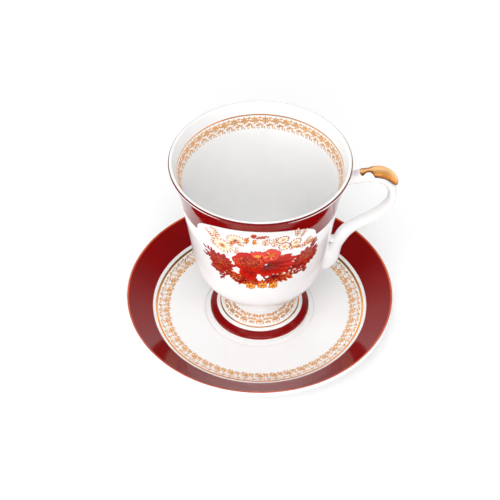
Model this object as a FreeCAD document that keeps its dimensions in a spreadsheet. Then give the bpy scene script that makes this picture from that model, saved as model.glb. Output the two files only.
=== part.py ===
# Footed porcelain mug with an ear handle, standing in the well of its saucer.
# Millimetres; +Z up; the origin is the centre of the saucer's foot ring, on the surface it stands on.
# The handle points along +X, so the front of the mug faces -Y.
import FreeCAD, Part
import math
import os
import re
import Sketcher

samePlace = 1e-4        # mm, two places nearer than this are one
leastCut = 1.0          # mm3, a cut that takes less away has missed
overrun = "4"           # mm that a cutter runs past the surface it opens

doc = FreeCAD.newDocument("MugAndSaucer")

# Every size that can be set by itself. The saucer's heights start at the table,
# the mug's own heights at the underside of its foot.
sizes = {
    # saucer
    "saucerRadius": 79.0,       # where the rim's edge and its underside meet
    "saucerHeight": 21.7,       # where the rim's top and its edge meet
    "rimLean": 1.0,             # the edge leans out by this much
    "rimEdge": 2.2,             # height of the edge
    "wellThick": 3.6,           # thickness of the flat well
    "rimWidth": 21.2,           # from the rim's edge in to where the flat well turns up
    "rimBend": 24.0,            # how gently it turns there
    "wellFloor": 8.8,           # top of the flat well
    "seatMargin": 3.0,          # the seat is this much wider than the mug's foot, all round
    "recessDepth": 0.5,         # how deep the foot stands in it
    "ringInset": 12.8,          # from where the rim starts in to the saucer's own foot ring
    "ringWidth": 3.6,
    "ringDraft": 1.0,           # how far each side of that ring leans
    "undersideHeight": 4.6,     # glazed underside inside the ring
    "edgeRound": 0.9,           # rounding of the rim's edge
    # mug
    "mugHeight": 117.1,
    "rimRadius": 51.0,
    "flareRadius": 45.5,        # where the straight side would meet the flared lip
    "flareDrop": 14.4,          # and how far below the lip they would meet
    "flareBend": 100.0,
    "bowlRadius": 35.8,         # where the straight side would meet the cone under the bowl
    "bowlHeight": 32.1,
    "bowlBend": 34.0,
    "stemRadius": 12.0,
    "stemTop": 18.6,            # cone under the bowl reaches the stem here
    "stemBottom": 11.65,        # cone of the foot reaches the stem here
    "stemTopBend": 5.0,
    "stemFootBend": 4.6,
    "footRadius": 29.0,
    "footEdge": 4.0,            # upright edge of the foot
    "footRound": 0.9,
    "wall": 2.6,
    "lipRound": 1.2,
    "floorThick": 4.6,          # bottom of the drinking space above the top of the stem
    "floorRadius": 14.8,
    "floorBend": 20.0,
    "footRing": 4.0,            # width of the ring that the mug stands on
    "hollowStep": 1.2,          # height of the ring's inner side
    "stemWall": 3.0,            # round the hollow inside the stem
    "footThick": 3.05,          # foot above its hollow
    "stemCap": 4.6,             # stem above its hollow
    "hollowTaper": 1.0,         # the hollow is this much narrower at its top
    # handle
    "handleDrop": 12.0,         # middle of the upper arm below the lip
    "handleFoot": 35.9,         # middle of the lower root
    "handleReach": 29.7,        # from the wall to the outer bend
    "handleThick": 5.0,
    "handleWidth": 8.0,
    "restRise": 3.4,            # thumb rest above the middle of the arm
    "restThick": 4.8,
    "restWidth": 8.8,
}

sheet = doc.addObject("Spreadsheet::Sheet", "Sizes")
for row, (name, value) in enumerate(sizes.items(), start=1):
    sheet.set(f"A{row}", name)
    sheet.set(f"B{row}", str(value))
    sheet.setAlias(f"B{row}", name)
doc.recompute()


# Places that follow from the sizes and are used by more than one outline.
rimStart = "(saucerRadius - rimWidth)"
ringRadius = f"({rimStart} - ringInset)"
seatRadius = "(footRadius + seatMargin)"
flareHeight = "(mugHeight - flareDrop)"
handleRise = "(mugHeight - handleDrop - handleFoot)"


def cells(formula):
    """Point each size named in a formula at its cell in the sheet."""
    return re.sub(r"[A-Za-z]+", lambda word: f"Sizes.{word[0]}" if word[0] in sizes else word[0], formula)


def valueOf(formula):
    """Number that a formula over the sheet's sizes gives now."""
    value = sheet.evalExpression(cells(formula))
    return float(getattr(value, "Value", value))


def newBody(name):
    body = doc.addObject("PartDesign::Body", name)
    body.Label = name
    return body


def originPart(body, role):
    return next(item for item in body.Origin.OriginFeatures if item.Role == role)


def newSketch(body, name, plane):
    sketch = body.newObject("Sketcher::SketchObject", name)
    sketch.AttachmentSupport = (originPart(body, plane), [""])
    sketch.MapMode = "FlatFace"
    return sketch


def bind(sketch, kind, references, formula):
    """Add one dimension to a sketch and tie it to the sheet."""
    index = sketch.addConstraint(Sketcher.Constraint(kind, *references, valueOf(formula)))
    name = f"{kind}{index}"
    sketch.renameConstraint(index, name)
    sketch.setExpression(f"Constraints.{name}", cells(formula))


def roundCorner(centre, bend, first, last):
    """Arc round a corner, and which of its ends (1 or 2) meets the side before and the side after."""
    startAngle = math.atan2(first.y - centre.y, first.x - centre.x)
    endAngle = math.atan2(last.y - centre.y, last.x - centre.x)
    sweep = math.remainder(endAngle - startAngle, 2 * math.pi)
    circle = Part.Circle(centre, FreeCAD.Vector(0, 0, 1), bend)
    if sweep > 0:
        return Part.ArcOfCircle(circle, startAngle, startAngle + sweep), 1, 2
    return Part.ArcOfCircle(circle, endAngle, endAngle - sweep), 2, 1


def drawOutline(sketch, corners):
    """Closed outline through named corners: (radius, height) or (radius, height, bend).

    A corner with a bend is rounded by a tangent arc of that radius, and the corner itself
    stays as a construction point that both sides run through.
    """
    points = [FreeCAD.Vector(valueOf(corner[0]), valueOf(corner[1]), 0) for corner in corners]
    count = len(points)
    starts = list(points)
    ends = list(points)
    arcs = {}
    for index, corner in enumerate(corners):
        if len(corner) < 3:
            continue
        bend = valueOf(corner[2])
        point = points[index]
        back = (points[index - 1] - point).normalize()
        onward = (points[(index + 1) % count] - point).normalize()
        half = back.getAngle(onward) / 2
        reach = bend / math.tan(half)
        ends[index] = point + back * reach
        starts[index] = point + onward * reach
        middle = (back + onward).normalize()
        centre = point + middle * (bend / math.sin(half))
        arcs[index] = roundCorner(centre, bend, ends[index], starts[index])
    sides = []
    for index in range(count):
        following = (index + 1) % count
        sides.append(sketch.addGeometry(Part.LineSegment(starts[index], ends[following])))
    for index, corner in enumerate(corners):
        before = sides[index - 1]
        after = sides[index]
        if index not in arcs:
            sketch.addConstraint(Sketcher.Constraint("Coincident", before, 2, after, 1))
            place = (after, 1)
        else:
            curve, near, far = arcs[index]
            arc = sketch.addGeometry(curve)
            sketch.addConstraint(Sketcher.Constraint("Tangent", before, 2, arc, near))
            sketch.addConstraint(Sketcher.Constraint("Tangent", after, 1, arc, far))
            bind(sketch, "Radius", (arc,), corner[2])
            mark = sketch.addGeometry(Part.Point(points[index]), True)
            sketch.addConstraint(Sketcher.Constraint("PointOnObject", mark, 1, before))
            sketch.addConstraint(Sketcher.Constraint("PointOnObject", mark, 1, after))
            place = (mark, 1)
        for kind, formula, value in (("DistanceX", corner[0], points[index].x),
                                     ("DistanceY", corner[1], points[index].y)):
            if abs(value) < samePlace:
                axis = -2 if kind == "DistanceX" else -1
                sketch.addConstraint(Sketcher.Constraint("PointOnObject", *place, axis))
            else:
                bind(sketch, kind, (-1, 1, *place), formula)


def turn(body, name, kind, corners):
    """Revolve an outline about the upright axis: a Revolution adds it, a Groove cuts it."""
    sketch = newSketch(body, f"{name}Outline", "XZ_Plane")
    drawOutline(sketch, corners)
    doc.recompute()
    before = body.Shape.Volume if kind == "Groove" else 0.0
    feature = body.newObject(f"PartDesign::{kind}", name)
    feature.Profile = sketch
    feature.ReferenceAxis = (originPart(body, "Z_Axis"), [""])
    feature.Angle = 360
    sketch.Visibility = False
    doc.recompute()
    if kind == "Groove" and body.Shape.Volume > before - leastCut:
        raise RuntimeError(f"{name} cuts nothing")


def sweepSections(body, name, stations):
    """Loft through ellipses that stand across a path in the XZ plane.

    Each station is (x, z, thickness in the plane, width across it), all formulas.
    """
    count = len(stations)
    sketches = []
    for index, (x, z, thickness, width) in enumerate(stations):
        back = stations[max(index - 1, 0)]
        ahead = stations[min(index + 1, count - 1)]
        slope = f"atan2(({ahead[1]}) - ({back[1]}); ({ahead[0]}) - ({back[0]}))"
        sketch = newSketch(body, f"{name}Section{index + 1:02d}", "YZ_Plane")
        place = FreeCAD.Vector(0, valueOf(z), valueOf(x))
        tilt = FreeCAD.Rotation(FreeCAD.Vector(1, 0, 0), -valueOf(slope))
        sketch.AttachmentOffset = FreeCAD.Placement(place, tilt)
        sketch.setExpression("AttachmentOffset.Base.y", cells(z))
        sketch.setExpression("AttachmentOffset.Base.z", cells(x))
        sketch.setExpression("AttachmentOffset.Rotation.Angle", cells(f"-{slope}"))
        halfWidth = FreeCAD.Vector(valueOf(width) / 2, 0, 0)
        halfThick = FreeCAD.Vector(0, valueOf(thickness) / 2, 0)
        centre = FreeCAD.Vector(0, 0, 0)
        # an ellipse names its longer axis first, and shows it first as construction lines
        if halfWidth.Length >= halfThick.Length:
            ellipse = sketch.addGeometry(Part.Ellipse(halfWidth, halfThick, centre))
            wide, thick = ellipse + 1, ellipse + 2
        else:
            ellipse = sketch.addGeometry(Part.Ellipse(halfThick, -halfWidth, centre))
            wide, thick = ellipse + 2, ellipse + 1
        sketch.exposeInternalGeometry(ellipse)
        sketch.addConstraint(Sketcher.Constraint("Coincident", ellipse, 3, -1, 1))
        sketch.addConstraint(Sketcher.Constraint("Horizontal", wide))
        bind(sketch, "Distance", (wide,), width)
        bind(sketch, "Distance", (thick,), thickness)
        sketch.Visibility = False
        sketches.append(sketch)
    doc.recompute()
    loft = body.newObject("PartDesign::AdditiveLoft", name)
    loft.Profile = sketches[0]
    loft.Sections = sketches[1:]
    doc.recompute()


def makeSaucer():
    body = newBody("saucer")
    seat = "wellFloor - recessDepth"
    underWell = "wellFloor - wellThick"
    turn(body, "saucerDish", "Revolution", [
        ("0", seat),
        (seatRadius, seat, "recessDepth"),
        (f"{seatRadius} + recessDepth", "wellFloor", "recessDepth"),
        (rimStart, "wellFloor", "rimBend"),
        ("saucerRadius - rimLean", "saucerHeight", "edgeRound"),
        ("saucerRadius", "saucerHeight - rimEdge", "edgeRound"),
        (rimStart, underWell, "rimBend + wellThick"),
        (f"{ringRadius} + ringDraft", underWell, "ringDraft"),
        (ringRadius, "0", "ringDraft"),
        (f"{ringRadius} - ringWidth", "0", "ringDraft"),
        (f"{ringRadius} - ringWidth - ringDraft", "undersideHeight", "ringDraft"),
        ("0", "undersideHeight"),
    ])
    return body


def makeCupBlank(body):
    """Foot, stem and bowl, still full."""
    turn(body, "cupBlank", "Revolution", [
        ("0", "0"),
        ("footRadius", "0", "footRound"),
        ("footRadius", "footEdge", "footRound"),
        ("stemRadius", "stemBottom", "stemFootBend"),
        ("stemRadius", "stemTop", "stemTopBend"),
        ("bowlRadius", "bowlHeight", "bowlBend"),
        ("flareRadius", flareHeight, "flareBend"),
        ("rimRadius", "mugHeight"),
        ("0", "mugHeight"),
    ])


def alongHandle(climb, out):
    """Place on the handle: climb is 0 at its lower root and 1 at the upper arm, out is 0 at the wall."""
    wallLine = f"(bowlRadius - wall + {climb} * (flareRadius - bowlRadius))"
    return (f"{wallLine} + {out} * handleReach",
            f"handleFoot + {climb} * {handleRise}")


def makeHandle(body):
    # climb, out, then thickness and width as parts of the handle's own
    course = [
        (0.965, 0.044, 1.72, 1.32),   # root, inside the wall
        (0.978, 0.169, 1.54, 1.14),
        (0.988, 0.316, 1.36, 1.04),
        (1.000, 0.529, 1.18, 1.00),
        (0.993, 0.758, 1.06, 1.00),
        (0.936, 0.963, 1.00, 1.00),
        (0.842, 1.074, 0.98, 0.98),   # outer bend
        (0.741, 1.084, 1.00, 0.98),
        (0.637, 0.973, 1.06, 0.98),
        (0.541, 0.754, 1.12, 0.98),
        (0.467, 0.534, 1.26, 0.98),
        (0.395, 0.385, 1.50, 0.98),   # swells where the spur leaves it
        (0.319, 0.313, 1.48, 0.98),
        (0.243, 0.281, 1.28, 0.96),
        (0.171, 0.254, 1.52, 1.00),
        (0.092, 0.219, 1.80, 1.16),   # runs into the bowl
        (0.030, 0.138, 1.68, 1.12),
        (0.009, -0.012, 1.28, 0.90),  # end of the curl, inside the wall
    ]
    stations = []
    for climb, out, thickness, width in course:
        x, z = alongHandle(climb, out)
        stations.append((x, z, f"handleThick * {thickness}", f"handleWidth * {width}"))
    sweepSections(body, "cupHandle", stations)


def makeSpur(body):
    """Short spur that ties the handle to the bowl above the curl."""
    spurClimb = 0.302
    stations = []
    for out, thickness, width in ((0.060, 0.50, 0.50), (0.150, 0.60, 0.62), (0.270, 1.00, 0.88)):
        x, z = alongHandle(spurClimb, out)
        stations.append((x, z, f"handleThick * {thickness}", f"handleWidth * {width}"))
    sweepSections(body, "cupSpur", stations)


def makeThumbRest(body):
    # climb and out follow the arm; rise, thickness and width are parts of the rest's own
    course = [
        (1.000, 0.470, 0.38, 0.34, 0.50),
        (1.000, 0.600, 0.76, 0.86, 0.90),
        (0.993, 0.764, 1.04, 1.00, 1.00),
        (0.975, 0.910, 0.96, 1.00, 1.00),
        (0.945, 1.020, 0.82, 0.90, 0.96),
        (0.915, 1.090, 0.74, 0.70, 0.78),
        (0.895, 1.122, 0.78, 0.34, 0.42),
    ]
    stations = []
    for climb, out, rise, thickness, width in course:
        x, z = alongHandle(climb, out)
        stations.append((x, f"{z} + restRise * {rise}",
                         f"restThick * {thickness}", f"restWidth * {width}"))
    sweepSections(body, "thumbRest", stations)


def hollowCup(body):
    """Cut the drinking space and the hollow under the foot."""
    flare = "(rimRadius - flareRadius) / flareDrop"
    side = f"atan2({flareHeight} - bowlHeight; flareRadius - bowlRadius)"
    cone = "atan2(bowlHeight - stemTop; bowlRadius - stemRadius)"
    # the inside corner lies one wall in from both the straight side and the cone under it
    inward = f"wall * sin(({side} + {cone}) / 2) / cos(({side} - {cone}) / 2)"
    upward = f"wall * cos(({side} + {cone}) / 2) / cos(({side} - {cone}) / 2)"
    turn(body, "drinkingSpace", "Groove", [
        ("0", "stemTop + floorThick"),
        ("floorRadius", "stemTop + floorThick", "floorBend"),
        (f"bowlRadius - {inward}", f"bowlHeight + {upward}", "bowlBend - wall"),
        ("flareRadius - wall", flareHeight, "flareBend + wall"),
        (f"rimRadius - wall + {overrun} * {flare}", f"mugHeight + {overrun}"),
        ("0", f"mugHeight + {overrun}"),
    ])
    turn(body, "footHollow", "Groove", [
        ("0", f"-{overrun}"),
        ("footRadius - footRing", f"-{overrun}"),
        ("footRadius - footRing", "hollowStep", "footRound"),
        ("stemRadius - stemWall", "stemBottom - footThick", "stemFootBend"),
        ("stemRadius - stemWall - hollowTaper", "stemTop - stemCap"),
        ("0", "stemTop - stemCap"),
    ])


def roundLip(body):
    """Round both edges of the lip."""
    base = body.Tip
    top = valueOf("mugHeight")
    lipEdges = [f"Edge{number}" for number, edge in enumerate(base.Shape.Edges, start=1)
                if max(abs(edge.BoundBox.ZMin - top), abs(edge.BoundBox.ZMax - top)) < samePlace]
    fillet = body.newObject("PartDesign::Fillet", "lipRounding")
    fillet.Base = (base, lipEdges)
    fillet.Radius = valueOf("lipRound")
    fillet.setExpression("Radius", cells("lipRound"))
    doc.recompute()


def makeCup():
    body = newBody("cup")
    makeCupBlank(body)
    makeHandle(body)
    makeSpur(body)
    makeThumbRest(body)
    hollowCup(body)
    roundLip(body)
    body.setExpression("Placement.Base.z", cells("wellFloor - recessDepth"))
    doc.recompute()
    return body


parts = [makeSaucer(), makeCup()]
doc.recompute()

for item in doc.Objects:
    if "Invalid" in item.State or "Error" in item.State:
        raise RuntimeError(f"{item.Name} failed: {item.State}")
for part in parts:
    shape = part.Shape
    if shape.isNull() or not shape.isValid() or len(shape.Solids) != 1:
        raise RuntimeError(f"{part.Label} is not one sound solid")

os.makedirs("parts", exist_ok=True)
for part in parts:
    part.Shape.exportStep(f"parts/{part.Label}.step")
    box = part.Shape.optimalBoundingBox(False)
    print(f"{part.Label}: {part.Shape.Volume / 1000:.1f} cm3, x {box.XMin:.1f}..{box.XMax:.1f}, "
          f"y {box.YMin:.1f}..{box.YMax:.1f}, z {box.ZMin:.1f}..{box.ZMax:.1f}")
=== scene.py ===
# Porcelain mug and saucer: glaze, maroon bands, gilding and a painted bouquet.
# Metres in the scene; the dictionaries give the potter's sizes in millimetres.
import math
import random

import bmesh
import bpy
import numpy as np
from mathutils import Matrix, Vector


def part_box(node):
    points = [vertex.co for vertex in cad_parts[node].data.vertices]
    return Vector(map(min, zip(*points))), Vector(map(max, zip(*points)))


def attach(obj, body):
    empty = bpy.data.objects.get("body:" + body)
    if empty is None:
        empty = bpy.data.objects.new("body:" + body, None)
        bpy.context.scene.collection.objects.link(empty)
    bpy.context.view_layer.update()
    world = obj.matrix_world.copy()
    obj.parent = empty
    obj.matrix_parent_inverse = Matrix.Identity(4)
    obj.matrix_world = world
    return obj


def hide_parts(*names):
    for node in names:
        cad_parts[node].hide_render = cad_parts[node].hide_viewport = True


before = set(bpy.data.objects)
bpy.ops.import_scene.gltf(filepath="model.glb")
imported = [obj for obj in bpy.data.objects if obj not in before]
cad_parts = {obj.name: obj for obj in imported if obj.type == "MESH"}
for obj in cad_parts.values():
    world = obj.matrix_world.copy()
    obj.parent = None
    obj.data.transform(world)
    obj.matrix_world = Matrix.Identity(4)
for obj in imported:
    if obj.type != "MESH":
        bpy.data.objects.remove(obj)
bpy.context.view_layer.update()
mm = 0.001
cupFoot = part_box("cup")[0].z / mm        # the mug's own heights start under its foot
around = 256                             # steps round a turned piece
print("frame loaded, the mug stands", round(cupFoot, 2), "mm up")


def addObject(name, data):
    thing = bpy.data.objects.new(name, data)
    bpy.context.scene.collection.objects.link(thing)
    return thing


# Camera
camera = {"place": (-5.4, -684.4, 744.6), "pitch": 45.209, "lens": 121.78, "shift": 0.001}


def makeCamera():
    data = bpy.data.cameras.new("camera")
    data.lens = camera["lens"]
    data.sensor_width = 36
    data.shift_x = -camera["shift"]
    data.shift_y = camera["shift"]
    rig = addObject("camera", data)
    rig.location = Vector(camera["place"]) * mm
    rig.rotation_euler = (math.radians(90 - camera["pitch"]), 0, 0)
    bpy.context.scene.camera = rig


# Finishes
def newFinish(name, **settings):
    finish = bpy.data.materials.new(name)
    finish.use_nodes = True
    shader = finish.node_tree.nodes["Principled BSDF"]
    for socket, value in settings.items():
        shader.inputs[socket.replace("_", " ")].default_value = value
    return finish, finish.node_tree.nodes, finish.node_tree.links, shader


def ramp(nodes, stops):
    band = nodes.new("ShaderNodeValToRGB")
    while len(band.color_ramp.elements) < len(stops):
        band.color_ramp.elements.new(0.5)
    for element, (place, colour) in zip(band.color_ramp.elements, stops):
        element.position = place
        element.color = (*colour, 1)
    return band


def noise(nodes, links, size, detail):
    place = nodes.new("ShaderNodeTexCoord")
    cloud = nodes.new("ShaderNodeTexNoise")
    cloud.inputs["Scale"].default_value = 1 / (size * mm)
    cloud.inputs["Detail"].default_value = detail
    links.new(place.outputs["Object"], cloud.inputs["Vector"])
    return cloud


def bump(nodes, links, shader, height, depth):
    relief = nodes.new("ShaderNodeBump")
    relief.inputs["Strength"].default_value = 1.0
    relief.inputs["Distance"].default_value = depth * mm
    links.new(height, relief.inputs["Height"])
    links.new(relief.outputs["Normal"], shader.inputs["Normal"])


porcelainLook = {
    "light": (0.935, 0.935, 0.930), "deep": (0.915, 0.918, 0.920), "ripple": 14.0, "rippleDepth": 0.05,
    "roughness": 0.07, "scatter": 0.06, "scatterDepth": 1.5,
}


def mottledFinish(name, stops, size, detail=4.0, relief=0.02, share=None, **settings):
    # the tone drifts with a soft cloud; given a share, it follows the shade laid into each stroke too
    finish, nodes, links, shader = newFinish(name, **settings)
    cloud = noise(nodes, links, size, detail)
    drift = cloud.outputs["Fac"]
    if share is not None:
        shade = nodes.new("ShaderNodeAttribute")
        shade.attribute_name = "shade"
        mixed = nodes.new("ShaderNodeMath")
        mixed.operation = "MULTIPLY_ADD"
        mixed.inputs[1].default_value = share
        links.new(drift, mixed.inputs[0])
        links.new(shade.outputs["Fac"], mixed.inputs[2])
        drift = mixed.outputs["Value"]
    tone = ramp(nodes, stops)
    links.new(drift, tone.inputs["Fac"])
    links.new(tone.outputs["Color"], shader.inputs["Base Color"])
    bump(nodes, links, shader, cloud.outputs["Fac"], relief)
    return finish


def porcelainFinish():
    p = porcelainLook
    return mottledFinish("porcelain", [(0.35, p["deep"]), (0.65, p["light"])], p["ripple"], 3.0,
                         p["rippleDepth"], Roughness=p["roughness"], IOR=1.5,
                         Subsurface_Weight=p["scatter"], Subsurface_Scale=p["scatterDepth"] * mm)


def glazeFinish(name, light, dark, size=22.0, roughness=0.06, ior=1.5):
    # coloured glaze pools a little darker here and there
    return mottledFinish(name, [(0.35, dark), (0.65, light)], size, 3.0, Roughness=roughness, IOR=ior)


def paintFinish(name, root, tip):
    # enamel shaded from the root of each petal to its tip, with brush mottling
    return mottledFinish(name, [(0.32, root), (0.95, tip)], 1.3, share=0.7, Roughness=0.16, IOR=1.30)


def goldFinish(name, light, dark, roughness, metal=1.0):
    return mottledFinish(name, [(0.3, dark), (0.7, light)], 2.2, Metallic=metal, Roughness=roughness)


def goldWithPaintedLightFinish(name, stops):
    # gilding with painted light: a pale peach painted highlight over the crown and a brown painted shade at
    # its edge
    return mottledFinish(name, stops, 1.6, share=0.16, Metallic=0.42, Roughness=0.32)


finishes = {
    "porcelain": porcelainFinish(),
    "bare": glazeFinish("unglazedRing", (0.80, 0.78, 0.74), (0.70, 0.68, 0.64), size=1.5, roughness=0.75),
    "maroon": glazeFinish("maroonGlaze", (0.240, 0.001, 0.0018), (0.212, 0.001, 0.0012), ior=1.37),
    "line": glazeFinish("maroonLine", (0.170, 0.001, 0.0022), (0.145, 0.001, 0.0016), ior=1.20),
    "edge": glazeFinish("orangeEdge", (0.64, 0.085, 0.014), (0.50, 0.045, 0.008)),
    "gold": goldFinish("polishedGold", (0.92, 0.45, 0.13), (0.82, 0.34, 0.07), 0.22),
    # dark brown to peach: painted shade at the gilding's edge, the gold's own orange between, and a painted
    # highlight over the crown
    "satin": goldWithPaintedLightFinish("satinGoldPaintedLight", [(0.20, (0.040, 0.011, 0.002)), (0.42, (0.28, 0.085, 0.012)),
                                       (0.66, (0.80, 0.30, 0.05)), (1.0, (0.97, 0.58, 0.24))]),
    "lace": goldFinish("printedGold", (0.90, 0.55, 0.29), (0.78, 0.39, 0.16), 0.26, 0.50),
    "red": paintFinish("petalRed", (0.17, 0.0020, 0.0010), (0.56, 0.010, 0.003)),
    "deep": paintFinish("petalDeep", (0.07, 0.0020, 0.0010), (0.38, 0.008, 0.003)),
    "pink": paintFinish("petalPink", (0.48, 0.010, 0.007), (0.80, 0.065, 0.040)),
    "orange": paintFinish("petalOrange", (0.62, 0.10, 0.01), (0.90, 0.46, 0.07)),
    "cream": paintFinish("petalCream", (0.88, 0.56, 0.32), (0.95, 0.85, 0.66)),
    "brown": paintFinish("outlineBrown", (0.26, 0.014, 0.006), (0.48, 0.06, 0.02)),
    "leaf": paintFinish("leafRed", (0.20, 0.004, 0.0015), (0.62, 0.060, 0.008)),
    "stem": paintFinish("stemDark", (0.15, 0.004, 0.003), (0.37, 0.016, 0.008)),
}
print("finishes made:", len(finishes))


# Outlines
def roundedLine(corners, fineness=7.0):
    # corners are (radius, height) or (radius, height, bend); a bend becomes a tangent arc
    points = [Vector(corner[:2]) for corner in corners]
    line = []
    for index, corner in enumerate(corners):
        point = points[index]
        if len(corner) < 3:
            line.append(point)
            continue
        back = (points[index - 1] - point).normalized()
        onward = (points[index + 1] - point).normalized()
        half = back.angle(onward) / 2
        middle = (back + onward).normalized()
        centre = point + middle * (corner[2] / math.sin(half))
        first = point + back * (corner[2] / math.tan(half)) - centre
        last = point + onward * (corner[2] / math.tan(half)) - centre
        turn = first.angle_signed(last)
        steps = max(6, int(math.degrees(abs(turn)) / fineness * 3))
        for step in range(steps + 1):
            angle = -turn * step / steps
            c, s = math.cos(angle), math.sin(angle)
            line.append(centre + Vector((first.x * c - first.y * s, first.x * s + first.y * c)))
    return line


def evenLine(line, step=2.5):
    # long straight stretches get points of their own
    out = [line[0]]
    for a, b in zip(line, line[1:]):
        parts = max(1, int((b - a).length / step))
        out += [a.lerp(b, k / parts) for k in range(1, parts + 1) if (b - a).length > 1e-6]
    return out


def turned(name, line, finish, up=0.0):
    # revolve a line of (radius, height) about the upright axis
    verts, faces, rings = [], [], []        # on the axis a ring is one point
    for point in line:
        z = (point.y + up) * mm
        if point.x < 1e-4:
            rings.append([len(verts)] * around)
            verts.append((0, 0, z))
            continue
        rings.append(list(range(len(verts), len(verts) + around)))
        for k in range(around):
            angle = 2 * math.pi * k / around
            verts.append((point.x * math.sin(angle) * mm, -point.x * math.cos(angle) * mm, z))
    for low, high in zip(rings, rings[1:]):
        for k in range(around):
            n = (k + 1) % around
            faces.append(tuple(dict.fromkeys((low[k], low[n], high[n], high[k]))))
    return newPiece(name, verts, faces, [finish])


def ringFaces(rings, sides):
    # between rings of points, each closed on itself
    faces = []
    for k in range(rings - 1):
        for j in range(sides):
            n = (j + 1) % sides
            faces.append((k * sides + j, k * sides + n, (k + 1) * sides + n, (k + 1) * sides + j))
    return faces


def newPiece(name, verts, faces, wanted, which=None, shade=None, crease=38):
    data = bpy.data.meshes.new(name)
    data.from_pydata([tuple(v) for v in verts], [], faces)
    for finish in wanted:
        data.materials.append(finishes[finish])
    if which is not None:
        data.polygons.foreach_set("material_index", which)
    if shade is not None:
        shades = data.attributes.new("shade", "FLOAT", "POINT").data
        shades.foreach_set("value", np.array(shade, np.float32))
    data.polygons.foreach_set("use_smooth", [True] * len(data.polygons))
    data.set_sharp_from_angle(angle=math.radians(crease))
    data.update()
    piece = addObject(name, data)
    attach(piece, "root")
    return piece


# Saucer
saucer = {
    "radius": 79.0, "height": 21.7, "lean": 1.0, "edge": 2.2, "edgeRound": 0.9,
    "rimStart": 57.8, "rimBend": 24.0, "well": 8.8, "thick": 3.6,
    "seat": 32.0, "seatDepth": 0.5,
    "ring": 45.0, "ringWidth": 3.6, "draft": 1.0, "underside": 4.6,
    # radii of the painted bands and lines
    "bandInner": 63.1, "bandOuter": 76.9, "edgeLine": 77.9, "goldLine": 60.2, "goldLineWidth": 1.35,
}


def saucerTop():
    s = saucer
    return roundedLine([
        (0, s["well"] - s["seatDepth"]),
        (s["seat"], s["well"] - s["seatDepth"], s["seatDepth"]),
        (s["seat"] + s["seatDepth"], s["well"], s["seatDepth"]),
        (s["rimStart"], s["well"], s["rimBend"]),
        (s["radius"] - s["lean"], s["height"], s["edgeRound"]),
        (s["radius"], s["height"] - s["edge"], s["edgeRound"]),
        (s["rimStart"], s["well"] - s["thick"]),
    ])[:-1]


def saucerUnder():
    s = saucer
    return roundedLine([
        (s["radius"], s["height"] - s["edge"]),
        (s["rimStart"], s["well"] - s["thick"], s["rimBend"] + s["thick"]),
        (s["ring"] + s["draft"], s["well"] - s["thick"], s["draft"]),
        (s["ring"], 0, s["draft"]),
        (s["ring"] - s["ringWidth"], 0, s["draft"]),
        (s["ring"] - s["ringWidth"] - s["draft"], s["underside"], s["draft"]),
        (0, s["underside"]),
    ])[1:]


# Mug
mug = {
    "height": 117.1, "rim": 51.0, "flare": 45.5, "flareDrop": 14.4, "flareBend": 100.0,
    "bowl": 35.8, "bowlHeight": 32.1, "bowlBend": 34.0,
    "stem": 12.0, "stemTop": 18.6, "stemBottom": 11.65, "stemTopBend": 5.0, "stemFootBend": 4.6,
    "foot": 29.0, "footEdge": 4.0, "footRound": 0.9, "footRing": 4.0,
    "wall": 2.6, "lipRound": 1.2, "floorThick": 4.6, "floor": 14.8, "floorBend": 20.0,
    "hollowStep": 1.2, "stemWall": 3.0, "footThick": 3.05, "stemCap": 4.6, "hollowTaper": 1.0,
    # heights of the painted bands, and the arch over each bouquet in degrees round the mug
    "lipLine": 116.2, "lipLineWidth": 0.9, "bandLow": 91.7,
    "archCentre": -4.0, "archHalf": 47.0, "archRise": 17.4,
    "innerLine": 110.5, "innerLineWidth": 0.75,
    # on the foot, heights up its edge and radii on its shoulder
    "footEdgeLine": 2.45, "footBandLow": 2.9, "footBandTop": 25.2, "footGoldOut": 23.3, "footGoldIn": 22.6,
    "footLace": 22.5, "footTop": 13.0,
}


def mugOuter():
    m = mug
    return roundedLine([
        (0, 0), (m["foot"], 0, m["footRound"]),
        (m["foot"], m["footEdge"], m["footRound"]),
        (m["stem"], m["stemBottom"], m["stemFootBend"]),
        (m["stem"], m["stemTop"], m["stemTopBend"]),
        (m["bowl"], m["bowlHeight"], m["bowlBend"]),
        (m["flare"], m["height"] - m["flareDrop"], m["flareBend"]),
        (m["rim"], m["height"], m["lipRound"]),
        (m["rim"] - m["wall"], m["height"]),
    ])[1:-1]


def mugInner():
    m = mug
    side = math.atan2(m["height"] - m["flareDrop"] - m["bowlHeight"], m["flare"] - m["bowl"])
    cone = math.atan2(m["bowlHeight"] - m["stemTop"], m["bowl"] - m["stem"])
    spread = m["wall"] / math.cos((side - cone) / 2)
    floor = m["stemTop"] + m["floorThick"]
    return roundedLine([
        (m["rim"], m["height"]),
        (m["rim"] - m["wall"], m["height"], m["lipRound"]),
        (m["flare"] - m["wall"], m["height"] - m["flareDrop"], m["flareBend"] + m["wall"]),
        (m["bowl"] - spread * math.sin((side + cone) / 2),
         m["bowlHeight"] + spread * math.cos((side + cone) / 2), m["bowlBend"] - m["wall"]),
        (m["floor"], floor, m["floorBend"]),
        (0, floor),
    ])[1:]


def mugUnder():
    m = mug
    inside = m["foot"] - m["footRing"]
    neck = m["stem"] - m["stemWall"]
    return roundedLine([
        (0, m["stemTop"] - m["stemCap"]),
        (neck - m["hollowTaper"], m["stemTop"] - m["stemCap"]),
        (neck, m["stemBottom"] - m["footThick"], m["stemFootBend"]),
        (inside, m["hollowStep"], m["footRound"]),
        (inside, 0),
    ])


outerLine = evenLine(mugOuter())
outerHeights = [point.y for point in outerLine]
outerRadii = [point.x for point in outerLine]
innerLine = evenLine(mugInner())
innerHeights = [point.y for point in innerLine][::-1]
innerRadii = [point.x for point in innerLine][::-1]
topLine = evenLine(saucerTop())


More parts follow.
